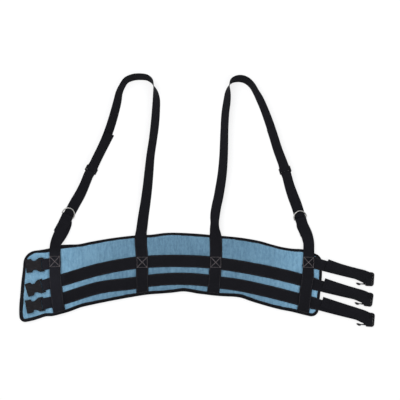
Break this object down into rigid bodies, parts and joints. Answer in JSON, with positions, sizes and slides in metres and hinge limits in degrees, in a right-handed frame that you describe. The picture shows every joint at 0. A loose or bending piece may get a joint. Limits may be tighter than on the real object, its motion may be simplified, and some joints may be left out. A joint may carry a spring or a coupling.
{
  "type": "gait belt",
  "caption": "Padded walking and transfer belt with webbing bands, side-release buckle ends and long adjustable shoulder loops that carry metal rings.",
  "frame": {"origin": "middle of the belt on the side that meets the wearer", "axes": "+X along the belt towards the plug straps, +Y across the belt towards the shoulder loops, +Z out of the blue face"},
  "size_m": [1.2241, 0.8701, 0.0381],
  "materials": {
    "blue_cloth": "plain woven polyester",
    "lining_cloth": "brushed knit",
    "foam": "closed foam sheet inside the belt",
    "binding_tape": "folded woven tape",
    "webbing": "flat woven nylon webbing",
    "black_plastic": "moulded, satin",
    "steel": "nickel-plated wire",
    "thread": "grey sewing thread"
  },
  "bodies": {
    "belt": {"lining": "lining_cloth", "foam_pad": "foam", "face_panel": "blue_cloth", "edge_binding": "binding_tape", "band_upper": "webbing", "band_lower": "webbing", "plug_strap_anchor": "webbing", "socket_tab_upper": "webbing", "socket_tab_middle": "webbing", "socket_tab_lower": "webbing", "plug_strap_upper": "webbing", "plug_strap_middle": "webbing", "plug_strap_lower": "webbing", "ring_strap_left": "webbing", "ring_strap_right": "webbing", "slider_strap_left": "webbing", "slider_strap_right": "webbing", "shoulder_strap_left": "webbing", "shoulder_strap_right": "webbing", "slider_left": "black_plastic", "slider_right": "black_plastic", "stitch_box_left_outer": "thread", "stitch_box_left_inner": "thread", "stitch_box_right_inner": "thread", "stitch_box_right_outer": "thread"},
    "socket_upper": {"socket_upper": "black_plastic"},
    "socket_middle": {"socket_middle": "black_plastic"},
    "socket_lower": {"socket_lower": "black_plastic"},
    "plug_upper": {"plug_upper": "black_plastic"},
    "plug_arm_upper_left": {"plug_arm_upper_left": "black_plastic"},
    "plug_arm_upper_right": {"plug_arm_upper_right": "black_plastic"},
    "plug_middle": {"plug_middle": "black_plastic"},
    "plug_arm_middle_left": {"plug_arm_middle_left": "black_plastic"},
    "plug_arm_middle_right": {"plug_arm_middle_right": "black_plastic"},
    "plug_lower": {"plug_lower": "black_plastic"},
    "plug_arm_lower_left": {"plug_arm_lower_left": "black_plastic"},
    "plug_arm_lower_right": {"plug_arm_lower_right": "black_plastic"},
    "ring_left": {"ring_left": "steel"},
    "ring_right": {"ring_right": "steel"}
  },
  "joints": [
    {"name": "socket_flip_upper", "type": "hinge", "parent": "belt", "child": "socket_upper", "pos_m": [-0.44, -0.0045, 0.0134], "axis": [-0.1045, 0.9945, 0], "range_deg": [0, 100]},
    {"name": "socket_flip_middle", "type": "hinge", "parent": "belt", "child": "socket_middle", "pos_m": [-0.44, -0.077, 0.0134], "axis": [-0.2924, 0.9563, 0], "range_deg": [0, 100]},
    {"name": "socket_flip_lower", "type": "hinge", "parent": "belt", "child": "socket_lower", "pos_m": [-0.44, -0.14, 0.0134], "axis": [-0.1908, 0.9816, 0], "range_deg": [0, 100]},
    {"name": "plug_swing_upper", "type": "hinge", "parent": "belt", "child": "plug_upper", "pos_m": [0.69, -0.056, 0.0037], "axis": [-0.0704, -0.9975, 0], "range_deg": [0, 90]},
    {"name": "arm_squeeze_upper_left", "type": "hinge", "parent": "plug_upper", "child": "plug_arm_upper_left", "pos_m": [0.66738, -0.07255, 0.0037], "axis": [0, 0, -1], "range_deg": [0, 9], "stiffness_Nm_per_rad": 0.3},
    {"name": "arm_squeeze_upper_right", "type": "hinge", "parent": "plug_upper", "child": "plug_arm_upper_right", "pos_m": [0.66993, -0.03644, 0.0037], "axis": [0, 0, 1], "range_deg": [0, 9], "stiffness_Nm_per_rad": 0.3},
    {"name": "plug_swing_middle", "type": "hinge", "parent": "belt", "child": "plug_middle", "pos_m": [0.686, -0.1265, 0.0037], "axis": [-0.1335, -0.991, 0], "range_deg": [0, 90]},
    {"name": "arm_squeeze_middle_left", "type": "hinge", "parent": "plug_middle", "child": "plug_arm_middle_left", "pos_m": [0.66238, -0.14158, 0.0037], "axis": [0, 0, -1], "range_deg": [0, 9], "stiffness_Nm_per_rad": 0.3},
    {"name": "arm_squeeze_middle_right", "type": "hinge", "parent": "plug_middle", "child": "plug_arm_middle_right", "pos_m": [0.66721, -0.1057, 0.0037], "axis": [0, 0, 1], "range_deg": [0, 9], "stiffness_Nm_per_rad": 0.3},
    {"name": "plug_swing_lower", "type": "hinge", "parent": "belt", "child": "plug_lower", "pos_m": [0.6915, -0.196, 0.0037], "axis": [-0.0725, -0.9974, 0], "range_deg": [0, 90]},
    {"name": "arm_squeeze_lower_left", "type": "hinge", "parent": "plug_lower", "child": "plug_arm_lower_left", "pos_m": [0.66885, -0.2125, 0.0037], "axis": [0, 0, -1], "range_deg": [0, 9], "stiffness_Nm_per_rad": 0.3},
    {"name": "arm_squeeze_lower_right", "type": "hinge", "parent": "plug_lower", "child": "plug_arm_lower_right", "pos_m": [0.67147, -0.1764, 0.0037], "axis": [0, 0, 1], "range_deg": [0, 9], "stiffness_Nm_per_rad": 0.3},
    {"name": "ring_swing_left", "type": "hinge", "parent": "belt", "child": "ring_left", "pos_m": [-0.356, 0.1635, 0.0071], "axis": [0.8894, -0.4571, 0], "range_deg": [0, 120]},
    {"name": "ring_swing_right", "type": "hinge", "parent": "belt", "child": "ring_right", "pos_m": [0.4465, 0.153, 0.0071], "axis": [0.9563, 0.2924, 0], "range_deg": [0, 120]}
  ]
}
